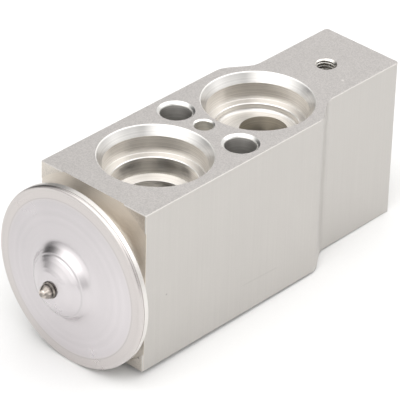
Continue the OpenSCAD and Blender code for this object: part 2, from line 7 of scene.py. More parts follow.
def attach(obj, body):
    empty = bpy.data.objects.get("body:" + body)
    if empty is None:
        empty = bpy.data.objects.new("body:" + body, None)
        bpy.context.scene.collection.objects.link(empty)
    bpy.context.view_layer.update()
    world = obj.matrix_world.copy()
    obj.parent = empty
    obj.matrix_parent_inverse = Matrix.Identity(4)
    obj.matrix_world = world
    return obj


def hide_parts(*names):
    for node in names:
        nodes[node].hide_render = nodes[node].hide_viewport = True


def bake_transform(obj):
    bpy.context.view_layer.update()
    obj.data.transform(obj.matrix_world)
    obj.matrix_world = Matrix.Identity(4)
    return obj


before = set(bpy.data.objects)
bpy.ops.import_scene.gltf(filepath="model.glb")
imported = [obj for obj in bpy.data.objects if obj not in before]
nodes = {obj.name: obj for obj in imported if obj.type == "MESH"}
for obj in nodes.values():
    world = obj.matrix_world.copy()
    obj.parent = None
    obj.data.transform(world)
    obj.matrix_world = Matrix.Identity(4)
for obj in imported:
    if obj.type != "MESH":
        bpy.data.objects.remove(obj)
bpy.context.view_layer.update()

# ---------------------------------------------------------------- Sizes
# All lengths are in millimetres, and the names are those of the part's source. Holes have radii.

MM = 0.001
PAST = 1  # how far a cutter reaches out of the block

BODY_LENGTH, BODY_WIDTH, NOSE_WIDTH, BODY_DEPTH = 90, 32, 22.5, 41
SHOULDER, SHOULDER_RUN, SHOULDER_R = 58.1, 6.784, 5.5
HEAD_CORNER_R, NOSE_CORNER_R, EDGE_BREAK = 0.3, 1.0, 0.14
HEAD_END = -36.8
NOSE_END = HEAD_END + BODY_LENGTH
AXIS_Z = BODY_DEPTH / 2
SUCTION_X, LIQUID_X = HEAD_END + 19.7, HEAD_END + 53.5
INLET_X, OUTLET_X, STUD_X = LIQUID_X + 2.3, LIQUID_X - 5.9, HEAD_END + 77
BOLT_Y, LOCATING_Y = 9.925, 1.3

PORT_R, PORT_EDGE, PORT_BORE_R, PORT_CONE_DEPTH, PORT_LEDGE_DEPTH = 13.3, 0.2, 11.85, 2.3, 6.6
PORT_INNER_R, LEDGE_CHAMFER = 9.85, 0.2
SUCTION_INNER_DEPTH, SUCTION_FLOOR_DEPTH, PASSAGE_R = 11, 11.5, 7.65
LIQUID_FLOOR_DEPTH, LIQUID_FLOOR_R = 8.6, 1.0
INLET_R, INLET_DEPTH, OUTLET_R, OUTLET_DEPTH = 5.6, 5.2, 3.5, 10.4
BOLT_R, BOLT_CHAMFER = 3.6, 0.8
LOCATING_R, LOCATING_DEPTH, LOCATING_CHAMFER = 2.2, 7, 0.35
STUD_CORE_R, STUD_THREAD_R, STUD_PITCH, STUD_DEPTH, STUD_CHAMFER = 2.1, 2.5, 0.8, 10, 0.48

# The bores along the valve's axis: radius, and how far each one's end lies from the block's end
# under the head
AXIAL_BORES = [(22.5, 0.3),    # spot face under the head
               (12.35, 2.2),   # seat of the head's seal
               (10.5, 9.3),    # thread of the head's neck
               (7.3, 19.7),    # room round the sensing rod
               (4.7, 30.95),   # seat of the rod's seal
               (3.25, 42.55),  # guide of the sensing rod
               (1.15, 44.55),  # guide of the push pin
               (3.4, 51.4),    # throat under the valve seat
               (4.4, 53.8),    # valve seat
               (7, 76.5),      # chamber of the ball holder and its spring
               (7.55, 89.2)]   # thread of the adjusting screw
SCREW_MOUTH_R = 8.35

HEAD_R, FLANGE_GAP, FLANGE_TOP, COVER_T = 22, 4.7, 6.0, 0.8
LIP_R, FLAT_R = HEAD_R - 3.3, 20.6
NECK_R, NECK_BORE_R, NECK_END, NECK_CHAMFER = 10.45, 8.8, -8.6, 0.6
HUB_R, HUB_SEAT, DISH_FLOOR = 15.5, -0.3, 1.2
COVER_MID, BOSS_TOP, EDGE_R, WELD_R = 6.55, 13.1, 0.7, 0.04
COVER_TOP, COVER_UNDER = COVER_MID + COVER_T / 2, COVER_MID - COVER_T / 2
FILLING_R, PLUG_R, PLUG_COLLAR_R, PLUG_STEM_R, PLUG_LENGTH = 1.45, 1.65, 2.05, 1.43, 2.6

SPRING_START, SPRING_END, SPRING_TURNS, SPRING_MEAN_R, SPRING_WIRE = 23.61, 36.68, 6.5, 4.9, 1.3

# Axes, each as an origin and a direction: both ports, the valve's own, and the head's out of the
# block's end
UP = (0, 0, 1)
SUCTION, LIQUID = ((SUCTION_X, 0, 0), UP), ((LIQUID_X, 0, 0), UP)
ALONG = ((0, 0, AXIS_Z), (1, 0, 0))
HEAD_OUT = ((HEAD_END, 0, AXIS_Z), (-1, 0, 0))

# ---------------------------------------------------------------- Forms

SUPPORT_GAP, SHARP_ANGLE = 0.12, 28


def rounded(corners, steps, closed=False):
    """A path through corners (x, y, radius), with an arc of so many steps at each corner.

    With unit directions a and b to a corner's neighbours and h half the angle between them, the
    arc's centre is P + (a + b)/|a + b| r/sin h. Its ends are P + a r/tan h and P + b r/tan h,
    and the points between turn evenly."""
    rows = np.asarray(corners, float)
    p, r = rows[:, :2], rows[:, 2:].copy()
    if not closed:
        r[[0, -1]] = 0
    a, b = np.roll(p, 1, 0) - p, np.roll(p, -1, 0) - p
    a /= np.linalg.norm(a, axis=1, keepdims=True)
    b /= np.linalg.norm(b, axis=1, keepdims=True)
    half = np.arccos(np.clip((a * b).sum(1, keepdims=True), -1, 1)) / 2
    middle = (a + b) / np.maximum(np.linalg.norm(a + b, axis=1, keepdims=True), 1e-9)
    centre = p + middle * r / np.sin(half)
    start = p + a * r / np.tan(half) - centre
    end = p + b * r / np.tan(half) - centre
    turn = np.maximum(np.pi - 2 * half, 1e-6)
    t = np.linspace(0, 1, steps + 1)[:, None, None]
    arcs = centre + (np.sin((1 - t) * turn) * start + np.sin(t * turn) * end) / np.sin(turn)
    return without_repeats(arcs.transpose(1, 0, 2).reshape(-1, 2), closed)


def without_repeats(path, closed):
    """The path without points that lie on the one before."""
    before = np.roll(path, 1, 0)
    keep = np.linalg.norm(path - before, axis=1) > 1e-4
    keep[0] |= not closed
    return path[keep]


def supported(path, closed=False):
    """The path with two more points near the ends of each long straight, which keeps its shading
    flat: each lies a support gap from its end."""
    ahead = np.roll(path, -1, 0) if closed else np.vstack([path[1:], path[-1:]])
    step = ahead - path
    length = np.linalg.norm(step, axis=1, keepdims=True)
    near = np.where(length > 5 * SUPPORT_GAP, SUPPORT_GAP / np.maximum(length, 1e-9), 0)
    far = path + step * (1 - near) * (near > 0)
    rows = np.stack([path, path + step * near, far], 1).reshape(-1, 2)
    return without_repeats(rows, closed)


def inset(path, distance):
    """A closed path moved to its left by a distance: each point goes along its two sides' mean
    normal over its own cosine."""
    ahead = np.roll(path, -1, 0) - path
    behind = path - np.roll(path, 1, 0)
    ahead /= np.linalg.norm(ahead, axis=1, keepdims=True)
    behind /= np.linalg.norm(behind, axis=1, keepdims=True)
    normal = np.stack([-(ahead + behind)[:, 1], (ahead + behind)[:, 0]], 1)
    return path + 2 * distance * normal / (normal ** 2).sum(1, keepdims=True)


def circle(axis, angle):
    """Unit directions across an axis at given angles: cos * side + sin * (axis x side)."""
    side = np.array([0.0, 1.0, 0.0]) if abs(axis[0]) > 0.5 else np.array([1.0, 0.0, 0.0])
    return np.cos(angle) * side + np.sin(angle) * np.cross(axis, side)


def turned(profile, origin, axis, around):
    """Points of a profile (radius, height) turned about an axis: origin + height * axis +
    radius * direction across the axis."""
    profile, axis = np.asarray(profile, float), np.asarray(axis, float)
    ring = circle(axis, np.linspace(0, 2 * np.pi, around, endpoint=False)[:, None])
    climb = profile[:, 1, None, None] * axis
    return np.asarray(origin, float) + climb + profile[:, 0, None, None] * ring[None]


def piece(name, points, closed_rows=False, closed_columns=True, caps=False):
    """A mesh over a grid of points, in the scene. Doubles are merged, open ends are filled if
    asked, and the faces are turned outwards."""
    rows, columns = points.shape[:2]
    i = np.arange(rows if closed_rows else rows - 1)[:, None]
    j = np.arange(columns if closed_columns else columns - 1)[None, :]
    below, beyond = (i + 1) % rows, (j + 1) % columns
    quads = np.stack(np.broadcast_arrays(
        i * columns + j, i * columns + beyond, below * columns + beyond, below * columns + j), -1)
    mesh = bpy.data.meshes.new(name)
    mesh.from_pydata((points.reshape(-1, 3) * MM).tolist(), [], quads.reshape(-1, 4).tolist())
    work = bmesh.new()
    work.from_mesh(mesh)
    bmesh.ops.remove_doubles(work, verts=work.verts, dist=2e-7)
    if caps:
        bmesh.ops.holes_fill(work, edges=[e for e in work.edges if e.is_boundary], sides=0)
    bmesh.ops.dissolve_degenerate(work, edges=work.edges, dist=1e-8)
    bmesh.ops.recalc_face_normals(work, faces=work.faces)
    work.to_mesh(mesh)
    work.free()
    made = bpy.data.objects.new(name, mesh)
    bpy.context.scene.collection.objects.link(made)
    smoothed(mesh)
    return made


def smoothed(mesh):
    """Shades a mesh smooth, apart from edges that turn by more than the sharp angle in degrees."""
    mesh.polygons.foreach_set("use_smooth", np.ones(len(mesh.polygons), bool))
    mesh.set_sharp_from_angle(angle=np.radians(SHARP_ANGLE))


def helix(name, core_r, root_r, pitch, turns, origin, axis):
    """A threaded plug that cuts an inner thread.

    One turn's profile has a flat crest at core_r, two flanks at 60 degrees to each other and a
    flat at root_r. It moves along the axis by pitch * angle / 360, so each turn's last edge is
    the next one's first."""
    around = 56
    flank = (root_r - core_r) * np.tan(np.radians(30))
    root = pitch * 0.17
    crest = pitch - root - 2 * flank
    profile = np.array([[core_r, 0], [core_r, crest], [root_r, crest + flank],
                        [root_r, crest + flank + root], [core_r, pitch]])
    axis = np.asarray(axis, float)
    angle = (np.arange(turns * around + 1) * 2 * np.pi / around)[:, None]
    ring = circle(axis, angle)
    climb = profile[None, :, 1] + pitch * angle / (2 * np.pi)
    points = origin + climb[..., None] * axis + profile[None, :, 0, None] * ring[:, None]
    return piece(name, points, closed_columns=False, caps=True)


def drill(name, x, y, r, top, depth, chamfer, direction=1):
    """A drill's shape: a chamfered mouth, a straight wall, and a 118 degree point. Direction 1
    enters from above."""
    tip = r / np.tan(np.radians(59))
    profile = np.array([[0, PAST], [r + chamfer, PAST], [r + chamfer, 0], [r, -chamfer],
                        [r, -depth], [0, -depth - tip]])
    profile[:, 1] = top + direction * profile[:, 1]
    return piece(name, turned(profile, (x, y, 0), UP, 96))


def cut(target, cutters):
    """Takes closed shapes out of a piece, one after another, and keeps only the finished mesh."""
    for cutter in cutters:
        step = target.modifiers.new(cutter.name, "BOOLEAN")
        step.operation, step.solver, step.object = "DIFFERENCE", "EXACT", cutter
    seen = target.evaluated_get(bpy.context.evaluated_depsgraph_get())
    mesh = bpy.data.meshes.new_from_object(seen)
    target.modifiers.clear()
    target.data = mesh
    for cutter in cutters:
        bpy.data.objects.remove(cutter)
    work = bmesh.new()
    work.from_mesh(mesh)
    bmesh.ops.remove_doubles(work, verts=work.verts, dist=5e-7)
    bmesh.ops.dissolve_degenerate(work, edges=work.edges, dist=5e-7)
    work.to_mesh(mesh)
    work.free()
    smoothed(mesh)


# ---------------------------------------------------------------- Finishes


def add_node(tree, kind, links=(), **settings):
    """Adds a shader node with its settings. Each socket named gets a link or a constant."""
    made = tree.nodes.new(kind)
    for name, value in settings.items():
        setattr(made, name, value)
    for socket, value in dict(links).items():
        if isinstance(value, bpy.types.NodeSocket):
            tree.links.new(value, made.inputs[socket])
        else:
            made.inputs[socket].default_value = value
    return made


def smooth_step(tree, value, low, high, to_low=0.0, to_high=1.0):
    """Goes smoothly from to_low to to_high as the value goes from low to high."""
    return add_node(tree, "ShaderNodeMapRange", {0: value, 1: low, 2: high, 3: to_low, 4: to_high},
                    interpolation_type="SMOOTHSTEP").outputs[0]


class Finish:
    """One material. Each call adds shader nodes, and those that measure give an output."""

    def __init__(self, name, colour, roughness, metallic=1.0):
        self.material = bpy.data.materials.new(name)
        self.material.use_nodes = True
        self.material.diffuse_color = (*colour, 1)
        self.tree = self.material.node_tree
        self.shader = self.tree.nodes["Principled BSDF"]
        self.shader.inputs["Metallic"].default_value = metallic
        self.shader.inputs["Roughness"].default_value = roughness
        self.shader.inputs["Base Color"].default_value = (*colour, 1)
        self.colour = colour
        self.place = self.node("ShaderNodeTexCoord").outputs["Object"]

    def node(self, kind, links=(), **settings):
        return add_node(self.tree, kind, links, **settings)

    def moved(self, centre=(0, 0, 0), scale=(1, 1, 1)):
        """Object coordinates measured from a centre in millimetres, then scaled per axis."""
        shift = self.node("ShaderNodeVectorMath", {0: self.place, 1: [-c * MM for c in centre]},
                          operation="ADD")
        return self.node("ShaderNodeVectorMath", {0: shift.outputs[0], 1: scale},
                         operation="MULTIPLY").outputs[0]

    def math(self, operation, a, b=0.0):
        return self.node("ShaderNodeMath", {0: a, 1: b}, operation=operation).outputs[0]

    def noise(self, where, size, detail=3.0, rough=0.55):
        """Noise from 0 to 1 whose grains are about size millimetres across."""
        links = {"Vector": where, "Scale": 1 / (size * MM), "Detail": detail, "Roughness": rough}
        return self.node("ShaderNodeTexNoise", links).outputs[0]

    def line_noise(self, value, size, detail=2.0):
        """Noise along one number only, for marks that run round or along a piece."""
        links = {"W": value, "Scale": 1 / (size * MM), "Detail": detail}
        return self.node("ShaderNodeTexNoise", links, noise_dimensions="1D").outputs[0]

    def ramp(self, value, low, high, to_low=0.0, to_high=1.0):
        return smooth_step(self.tree, value, low, high, to_low, to_high)

    def length(self, vector):
        return self.node("ShaderNodeVectorMath", {0: vector}, operation="LENGTH").outputs["Value"]

    def radius(self, centre, axis):
        """Distance from an axis through a centre: the length of the coordinates across it."""
        return self.length(self.moved(centre, [0.0 if a else 1.0 for a in axis]))

    def along(self, axis):
        """How far a place lies along an axis, in metres."""
        return self.node("ShaderNodeVectorMath", {0: self.place, 1: axis},
                         operation="DOT_PRODUCT").outputs["Value"]

    def band(self, value, middle, half):
        """1 where a length is at the middle, fading to 0 half a width away, in millimetres."""
        away = self.math("ABSOLUTE", self.math("SUBTRACT", value, middle * MM))
        return self.ramp(away, half * MM, 0)

    def tinted(self, factor, colour, blend_type):
        """Base colour mixed with another colour by a factor, on what is there already."""
        socket = self.shader.inputs["Base Color"]
        before = socket.links[0].from_socket if socket.links else (*self.colour, 1)
        mix = self.node("ShaderNodeMix", {0: factor, 6: before, 7: colour}, data_type="RGBA",
                        blend_type=blend_type)
        self.tree.links.new(mix.outputs[2], socket)

    def shade(self, factor, low, high):
        """Base colour times a grey that goes from low to high as the factor goes from 0 to 1."""
        self.tinted(1.0, self.ramp(factor, 0, 1, low, high), "MULTIPLY")

    def tint(self, factor, colour):
        """Goes over to another colour where the factor is 1."""
        self.tinted(factor, (*colour, 1), "MIX")

    def gloss(self, factor, low, high):
        """Roughness that goes from low to high as the factor goes from 0 to 1."""
        self.tree.links.new(self.ramp(factor, 0, 1, low, high), self.shader.inputs["Roughness"])

    def bump(self, height, depth):
        """Height from 0 to 1 over a depth in millimetres, on top of the bumps already there."""
        socket = self.shader.inputs["Normal"]
        links = {"Height": height, "Distance": depth * MM, "Strength": 1.0}
        if socket.links:
            links["Normal"] = socket.links[0].from_socket
        self.tree.links.new(self.node("ShaderNodeBump", links).outputs[0], socket)

    def spot(self, centre, r):
        """1 inside a small spot, 0 outside."""
        return self.ramp(self.length(self.moved(centre)), r * MM, 0.5 * r * MM)

    def scratch(self, start, end, half):
        """1 along a straight mark on the near side face between two places (x, z).

        It fades half a width away across the mark, and over its first and last 2 mm."""
        start, end = np.array(start), np.array(end)
        run = (end - start) / np.linalg.norm(end - start)
        middle = start @ [run[1], -run[0]]
        across = self.band(self.along((run[1], 0, -run[0])), middle, half)
        near_side = self.ramp(self.along((0, 1, 0)), 0, -MM)
        reach = self.along((run[0], 0, run[1]))
        from_start = self.ramp(reach, (start @ run) * MM, (start @ run + 2) * MM)
        to_end = self.ramp(reach, (end @ run) * MM, (end @ run - 2) * MM)
        return self.math("MULTIPLY", self.math("MULTIPLY", across, near_side),
                         self.math("MULTIPLY", from_start, to_end))


def extruded(name):
    """Extruded aluminium: fine streaks along the bar, faint clouds and a few rubbed marks."""
    f = Finish(name, (0.549, 0.53, 0.507), 0.42)
    streaks = f.noise(f.moved(scale=(1, 1, 0.012)), 0.35, 4)
    broad = f.noise(f.moved(scale=(1, 1, 0.05)), 7, 3)
    clouds = f.noise(f.moved(), 18, 3)
    grain = f.noise(f.moved(), 0.22, 2)
    f.shade(streaks, 0.97, 1.03)
    f.shade(broad, 0.98, 1.02)
    f.shade(clouds, 0.98, 1.025)
    f.shade(grain, 0.975, 1.025)
    f.gloss(broad, 0.38, 0.47)
    f.bump(streaks, 0.0025)
    f.bump(grain, 0.0025)
    f.shade(f.spot((-29.6, -16, 17.4), 0.3), 1, 0.72)
    f.shade(f.scratch((-5.2, 7.8), (8.4, 7.2), 0.35), 1, 0.93)
    return f.material


def milled(name, stretch, colour):
    """Milled aluminium: a fine speckled grain with faint tool marks across the face. A nick on
    the pipe face and a pit on the end face are the photograph's."""
    f = Finish(name, colour, 0.4)
    grain = f.ramp(f.noise(f.moved(), 0.3, 2, 0.6), 0.3, 0.7)
    marks = f.noise(f.moved(scale=stretch), 0.5, 3)
    clouds = f.noise(f.moved(), 14, 2)
    f.shade(grain, 0.9, 1.1)
    f.shade(marks, 0.965, 1.035)
    f.shade(clouds, 0.975, 1.02)
    f.gloss(grain, 0.34, 0.48)
    f.bump(grain, 0.003)
    f.bump(marks, 0.004)
    f.shade(f.spot((37.3, -7.6, BODY_DEPTH), 0.45), 1, 1.3)
    f.shade(f.spot((HEAD_END, -14.7, 3.3), 0.4), 1, 0.55)
    return f.material


def turned_metal(name, centre, axis, colour, roughness=0.3, feed=0.3, depth=0.008, contrast=0.07):
    """Turned metal: rings round an axis. The marks are noise of radius + height, so they follow
    walls and floors alike. The feed is the width of one mark."""
    f = Finish(name, colour, roughness)
    ring = f.math("ADD", f.radius(centre, axis), f.along(axis))
    fine = f.line_noise(ring, feed)
    broad = f.line_noise(ring, feed * 8)
    stain = f.noise(f.moved(), 3.5, 3)
    f.shade(f.ramp(fine, 0.3, 0.7), 1 - contrast, 1 + contrast)
    f.shade(broad, 1 - contrast, 1 + contrast)
    f.shade(stain, 0.95, 1.04)
    f.gloss(broad, roughness - 0.05, roughness + 0.07)
    f.bump(fine, depth)
    return f.material


def pressed_steel(name, colour, roughness):
    """Pressed stainless sheet: a satin skin with faint clouds, a fine grain and short polishing
    scratches."""
    f = Finish(name, colour, roughness)
    clouds = f.noise(f.moved(), 5, 4, 0.6)
    grain = f.noise(f.moved(), 0.25, 2)
    scratches = f.noise(f.moved(scale=(1, 1, 0.06)), 0.5, 2)
    f.shade(clouds, 0.95, 1.04)
    f.shade(grain, 0.975, 1.02)
    f.gloss(clouds, roughness - 0.04, roughness + 0.08)
    f.bump(clouds, 0.012)
    f.bump(scratches, 0.0025)
    f.bump(grain, 0.002)
    return f.material


def welded_sheet(name):
    """The cover's stainless sheet: faint rings and clouds, a painted reflection that makes it
    lighter towards its lower edge, straw coloured where the weld has heated its rim, darker in two
    narrow rings on the rim, and a painted shade in the crease round the boss's ledge."""
    f = Finish(name, (0.613, 0.585, 0.597), 0.25)
    away = f.radius(*ALONG)
    rings = f.line_noise(away, 1.1, 3)
    clouds = f.noise(f.moved(), 9, 3)
    f.shade(rings, 0.97, 1.03)
    f.shade(clouds, 0.96, 1.04)
    # Painted reflection: the sheet is lighter towards its lower edge and darker towards its top
    f.shade(f.ramp(f.along((0, 0.5, 1)), 3 * MM, 46 * MM), 1.05, 0.90)
    f.tint(f.math("MULTIPLY", f.ramp(away, 18.6 * MM, 19.4 * MM), 0.75), (0.585, 0.55, 0.53))
    # The ring at 7.5 mm is painted shade in the crease round the boss's ledge; the other two are
    # lines on the rim
    for middle, half, dark in [(19.2, 0.24, 0.87), (20.9, 0.14, 0.94), (7.5, 0.3, 0.88)]:
        f.shade(f.band(away, middle, half), 1, dark)
    f.gloss(clouds, 0.22, 0.29)
    f.bump(clouds, 0.008)
    f.bump(rings, 0.0006)
    return f.material


def plug_steel(name):
    """The plug's steel: turned, with painted shade on its foot, in the crease there and in the
    groove over it.
    """
    f = Finish(name, (0.56, 0.505, 0.46), 0.2)
    height = f.math("MULTIPLY", f.along((1, 0, 0)), -1.0)
    foot = BOSS_TOP - HEAD_END
    f.shade(f.line_noise(height, 0.15), 0.9, 1.1)
    # Painted shade: the foot and collar are darker than the tip
    f.shade(f.ramp(height, (foot + 0.85) * MM, (foot + 1.15) * MM), 0.55, 1)
    # Painted shade in the crease at the foot and in the groove over it
    for middle, half in [(foot + 0.12, 0.22), (foot + 0.66, 0.26)]:
        f.shade(f.band(height, middle, half), 1, 0.25)
    f.shade(f.ramp(f.noise(f.moved(scale=(0.1, 1, 1)), 1.1, 1), 0.42, 0.58), 0.5, 1.1)
    f.gloss(f.noise(f.moved(), 0.6, 2), 0.14, 0.26)
    return f.material


def rubber(name):
    """Black seal rubber: a matt skin with a fine grain and a dusting of oil shine."""
    f = Finish(name, (0.025, 0.025, 0.027), 0.5, metallic=0.0)
    grain = f.noise(f.moved(), 0.12, 3)
    film = f.noise(f.moved(), 2.5, 2)
    f.shade(grain, 0.7, 1.3)
    f.gloss(film, 0.35, 0.6)
    f.bump(grain, 0.01)
    return f.material


# ---------------------------------------------------------------- Block


def block():
    """The extruded bar: its outline carried along Z, with a small break at both cut faces."""
    half = [[HEAD_END, -BODY_WIDTH / 2, HEAD_CORNER_R],
            [HEAD_END + SHOULDER, -BODY_WIDTH / 2, SHOULDER_R],
            [HEAD_END + SHOULDER + SHOULDER_RUN, -NOSE_WIDTH / 2, SHOULDER_R],
            [NOSE_END, -NOSE_WIDTH / 2, NOSE_CORNER_R]]
    other = [[x, -y, r] for x, y, r in half[::-1]]
    outline = supported(rounded(half + other, 12, closed=True), closed=True)
    inner = inset(outline, EDGE_BREAK)
    levels = [0, EDGE_BREAK, BODY_DEPTH - EDGE_BREAK, BODY_DEPTH]
    rings = np.stack([np.column_stack([path, np.full(len(path), z)])
                      for path, z in zip([inner, outline, outline, inner], levels)])
    return piece("block", rings, caps=True)


def port_steps():
    """Half of a port's profile as radius, height from its face and bend: edge break, lead-in
    cone, bore, ledge, inner bore."""
    return [[PORT_R, PAST, 0],
            [PORT_R, 0, 0],
            [PORT_R - PORT_EDGE, -PORT_EDGE, 0.1],
            [PORT_BORE_R, -PORT_CONE_DEPTH, 0.25],
            [PORT_BORE_R, -PORT_LEDGE_DEPTH, 0.18],
            [PORT_INNER_R + LEDGE_CHAMFER, -PORT_LEDGE_DEPTH, 0.03],
            [PORT_INNER_R, -PORT_LEDGE_DEPTH - LEDGE_CHAMFER, 0.05]]


def suction_cutter():
    """Both suction ports and the passage between them, as one shape through the block."""
    steps = port_steps() + [[PORT_INNER_R, -SUCTION_INNER_DEPTH, 0.1],
                            [PASSAGE_R, -SUCTION_FLOOR_DEPTH, 0.15]]
    top = [[r, BODY_DEPTH + h, bend] for r, h, bend in steps]
    low = [[r, -h, bend] for r, h, bend in steps[::-1]]
    profile = rounded([[0, BODY_DEPTH + PAST, 0]] + top + low + [[0, -PAST, 0]], 5)
    return piece("suction", turned(profile, *SUCTION, 160))


def liquid_cutter(name, face, direction):
    """One liquid port, which ends in a flat floor with a fillet round it."""
    floor = [[PORT_INNER_R, -LIQUID_FLOOR_DEPTH, LIQUID_FLOOR_R], [0, -LIQUID_FLOOR_DEPTH, 0]]
    profile = rounded([[0, PAST, 0]] + port_steps() + floor, 6)
    profile[:, 1] = face + direction * profile[:, 1]
    return piece(name, turned(profile, *LIQUID, 160))


def valve_bores():
    """The bores along the valve's axis, each from the end of the one before to its own, and the
    chamfered mouth of the adjusting screw's thread."""
    r, end = np.array(AXIAL_BORES).T
    start = np.append(-PAST, end[:-1])
    steps = np.stack([r, start, r, end], 1).reshape(-1, 2)
    mouth = [[SCREW_MOUTH_R, BODY_LENGTH], [SCREW_MOUTH_R, BODY_LENGTH + PAST]]
    rows = np.vstack([[0, -PAST], steps, mouth, [0, BODY_LENGTH + PAST]])
    return piece("valve_bores", turned(rows, (HEAD_END, 0, AXIS_Z), (1, 0, 0), 144))


def through_hole(name, y):
    """A bolt hole with a countersunk and deburred mouth at both ends, which flattens outwards."""
    mouth_r = BOLT_R + BOLT_CHAMFER
    mouth = np.array([[BOLT_R, BOLT_CHAMFER], [BOLT_R + 0.08, 0.55], [BOLT_R + 0.27, 0.3],
                      [mouth_r, 0], [mouth_r, -PAST]])
    high = mouth * [1, -1] + [0, BODY_DEPTH]
    rows = np.vstack([[0, -PAST], mouth[::-1], high, [0, BODY_DEPTH + PAST]])
    return piece(name, turned(rows, (0, y, 0), UP, 96))


body = block()
cut(body, [
    suction_cutter(),
    liquid_cutter("liquid_pipe_side", BODY_DEPTH, 1),
    liquid_cutter("liquid_back_side", 0, -1),
    drill("inlet", INLET_X, 0, INLET_R, BODY_DEPTH - LIQUID_FLOOR_DEPTH, INLET_DEPTH, 0.0),
    drill("outlet", OUTLET_X, 0, OUTLET_R, LIQUID_FLOOR_DEPTH, OUTLET_DEPTH, 0.0, -1),
    through_hole("bolt_near", -BOLT_Y),
    through_hole("bolt_far", BOLT_Y),
    drill("locating", 0, LOCATING_Y, LOCATING_R, BODY_DEPTH, LOCATING_DEPTH, LOCATING_CHAMFER),
    drill("stud", STUD_X, 0, STUD_CORE_R, BODY_DEPTH, STUD_DEPTH, STUD_CHAMFER),
    helix("stud_thread", STUD_CORE_R - 0.01, STUD_THREAD_R, STUD_PITCH, 12,
          (STUD_X, 0, BODY_DEPTH + 0.6), (0, 0, -1)),
    valve_bores(),
])
body.name = body.data.name = "valve_block"

# The kinds of faces, in the order of the block's materials
(FLANK, FACE, END, AXIAL, SUCTION_WALL, LIQUID_WALL, BOLT_NEAR, BOLT_FAR, LOCATING, STUD, INLET,
 DEBURRED, COUNTERSUNK, SUCTION_CONE, LIQUID_CONE, SUCTION_LEDGE, LIQUID_LEDGE) = range(17)


def zones(mesh):
    """The kind of each face, from its middle and its normal.

    A face belongs to a hole if its middle lies within the hole's radius of the hole's axis, with
    a small allowance. A later rule overrides an earlier one."""
    count = len(mesh.polygons)
    middle, normal = np.empty(count * 3), np.empty(count * 3)
    mesh.polygons.foreach_get("center", middle)
    mesh.polygons.foreach_get("normal", normal)
    x, y, z = middle.reshape(-1, 3).T / MM
    upright = abs(normal.reshape(-1, 3)[:, 2])
    close, clear = 0.01, 0.05  # allowances for planes and for walls
    leaning, level = 0.3, 0.75  # how upright the normals of cones and of ledges are at least

    def near(cx, cy, r):
        return (x - cx) ** 2 + (y - cy) ** 2 < r * r

    # Cut faces, ends and the holes along Z
    inside = (z > close) & (z < BODY_DEPTH - close)
    mouth_r, locating_r = BOLT_R + BOLT_CHAMFER, LOCATING_R + LOCATING_CHAMFER
    at_stud = near(STUD_X, 0, STUD_CORE_R + 0.6)
    zone = np.full(count, FLANK)
    zone[~inside] = FACE
    zone[(x < HEAD_END + close) | (x > NOSE_END - close)] = END
    zone[inside & near(SUCTION_X, 0, PORT_R + close)] = SUCTION_WALL
    zone[inside & near(LIQUID_X, 0, PORT_R + close)] = LIQUID_WALL
    zone[inside & near(0, -BOLT_Y, mouth_r + clear)] = BOLT_NEAR
    zone[inside & near(0, BOLT_Y, mouth_r + clear)] = BOLT_FAR
    zone[inside & near(0, LOCATING_Y, locating_r + clear)] = LOCATING
    zone[inside & at_stud & (z > AXIS_Z)] = STUD

    # The bores along the valve's axis, where no hole along Z crosses them
    (spot_r, spot_end), (seal_r, _), (_, neck_end) = AXIAL_BORES[:3]
    thread_r = AXIAL_BORES[-1][0]
    screw_start, half_height, inlet_foot = HEAD_END + 70, 9.5, 27
    away, height = np.hypot(y, z - AXIS_Z), abs(z - AXIS_Z)
    on_flank = (upright < 0.02) & (abs(abs(y) - BODY_WIDTH / 2) < 0.2)
    at_neck = x < HEAD_END + neck_end + 0.1
    at_screw = (x > screw_start) & (away < SCREW_MOUTH_R + 0.15)
    between = (away < thread_r + clear) & (height < half_height)
    at_inlet = near(INLET_X, 0, INLET_R + clear) & (z > inlet_foot)
    at_outlet = near(OUTLET_X, 0, OUTLET_R + 0.02)
    at_passage = near(SUCTION_X, 0, PASSAGE_R + clear)
    crossed = at_passage | at_inlet | at_outlet | at_stud
    taken = np.isin(zone, [BOLT_NEAR, BOLT_FAR, END])
    axial = inside & (away < seal_r + clear) & ~on_flank & (at_neck | at_screw | between)
    zone[axial & ~taken & ~crossed] = AXIAL
    zone[(x < HEAD_END + spot_end + clear) & (away < spot_r + 0.1)] = AXIAL
    zone[inside & at_inlet & (z < BODY_DEPTH - LIQUID_FLOOR_DEPTH)] = INLET

    # Edge breaks and countersinks at both cut faces, and the cones and ledges of the ports
    edge_r = PORT_R - PORT_EDGE + 0.02
    ports = [near(port_x, 0, PORT_R) & ~near(port_x, 0, edge_r) for port_x in (SUCTION_X, LIQUID_X)]
    holes = [near(0, -BOLT_Y, mouth_r - close), near(0, BOLT_Y, mouth_r - close),
             near(0, LOCATING_Y, locating_r - close)]
    zone[inside & (height > AXIS_Z - PORT_EDGE) & np.any(ports, 0)] = DEBURRED
    zone[inside & (height > AXIS_Z - BOLT_CHAMFER) & np.any(holes, 0)] = COUNTERSUNK
    for wall, cone, ledge in [(SUCTION_WALL, SUCTION_CONE, SUCTION_LEDGE),
                              (LIQUID_WALL, LIQUID_CONE, LIQUID_LEDGE)]:
        zone[(zone == wall) & (upright > leaning)] = cone
        zone[(zone == cone) & (upright > level)] = ledge
    return zone
